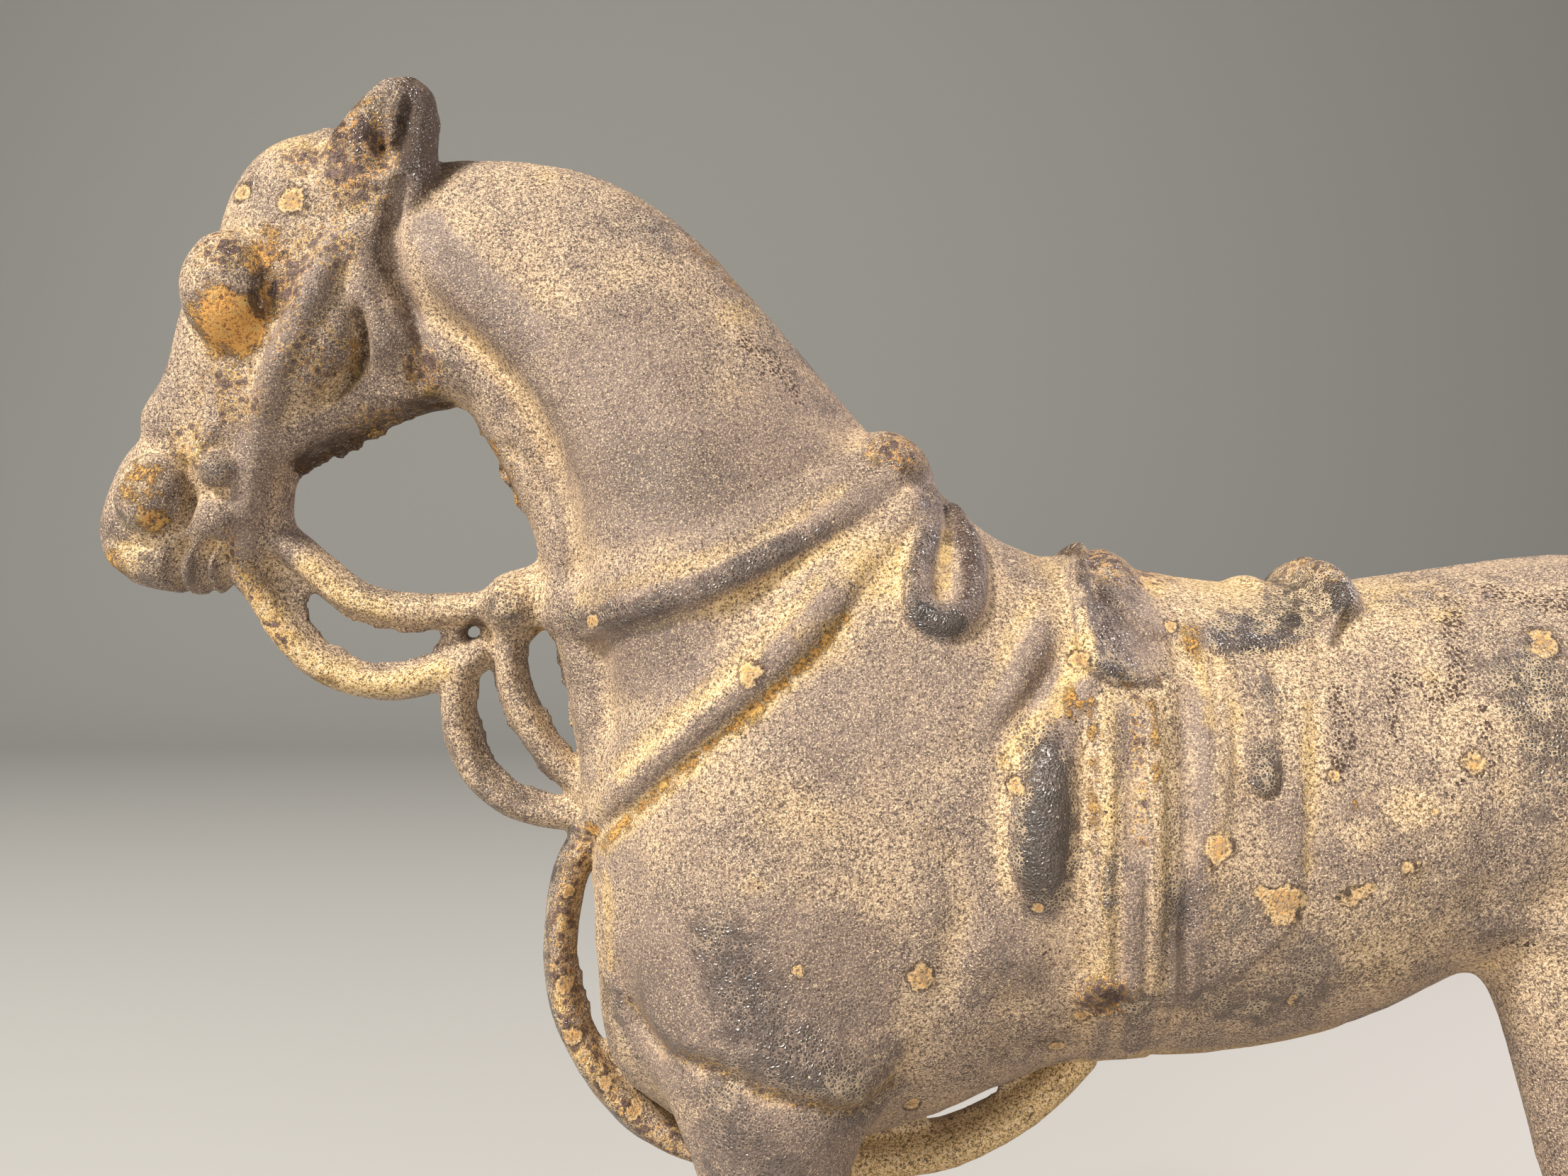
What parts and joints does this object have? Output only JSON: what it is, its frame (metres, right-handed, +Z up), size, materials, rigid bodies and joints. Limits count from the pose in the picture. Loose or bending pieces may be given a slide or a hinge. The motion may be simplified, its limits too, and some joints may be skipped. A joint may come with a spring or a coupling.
{
  "type": "cast iron horse ornament",
  "caption": "Standing saddled and bridled horse in cast iron, worn and dusty, on a low rectangular plinth: a mantel or shelf ornament.",
  "frame": {"origin": "on the plinth's underside, below the middle of the ornament's length and width", "axes": "+X from the horse's nose to its tail, +Y to the horse's right side, +Z up"},
  "size_m": [0.2726, 0.08, 0.2606],
  "materials": {
    "horse_iron": "worn dark paint under tan dust and ochre rust, matte",
    "plinth_iron": "worn dark paint under tan dust, matte"
  },
  "bodies": {
    "root": {"horse": "horse_iron", "plinth": "plinth_iron"}
  },
  "joints": []
}
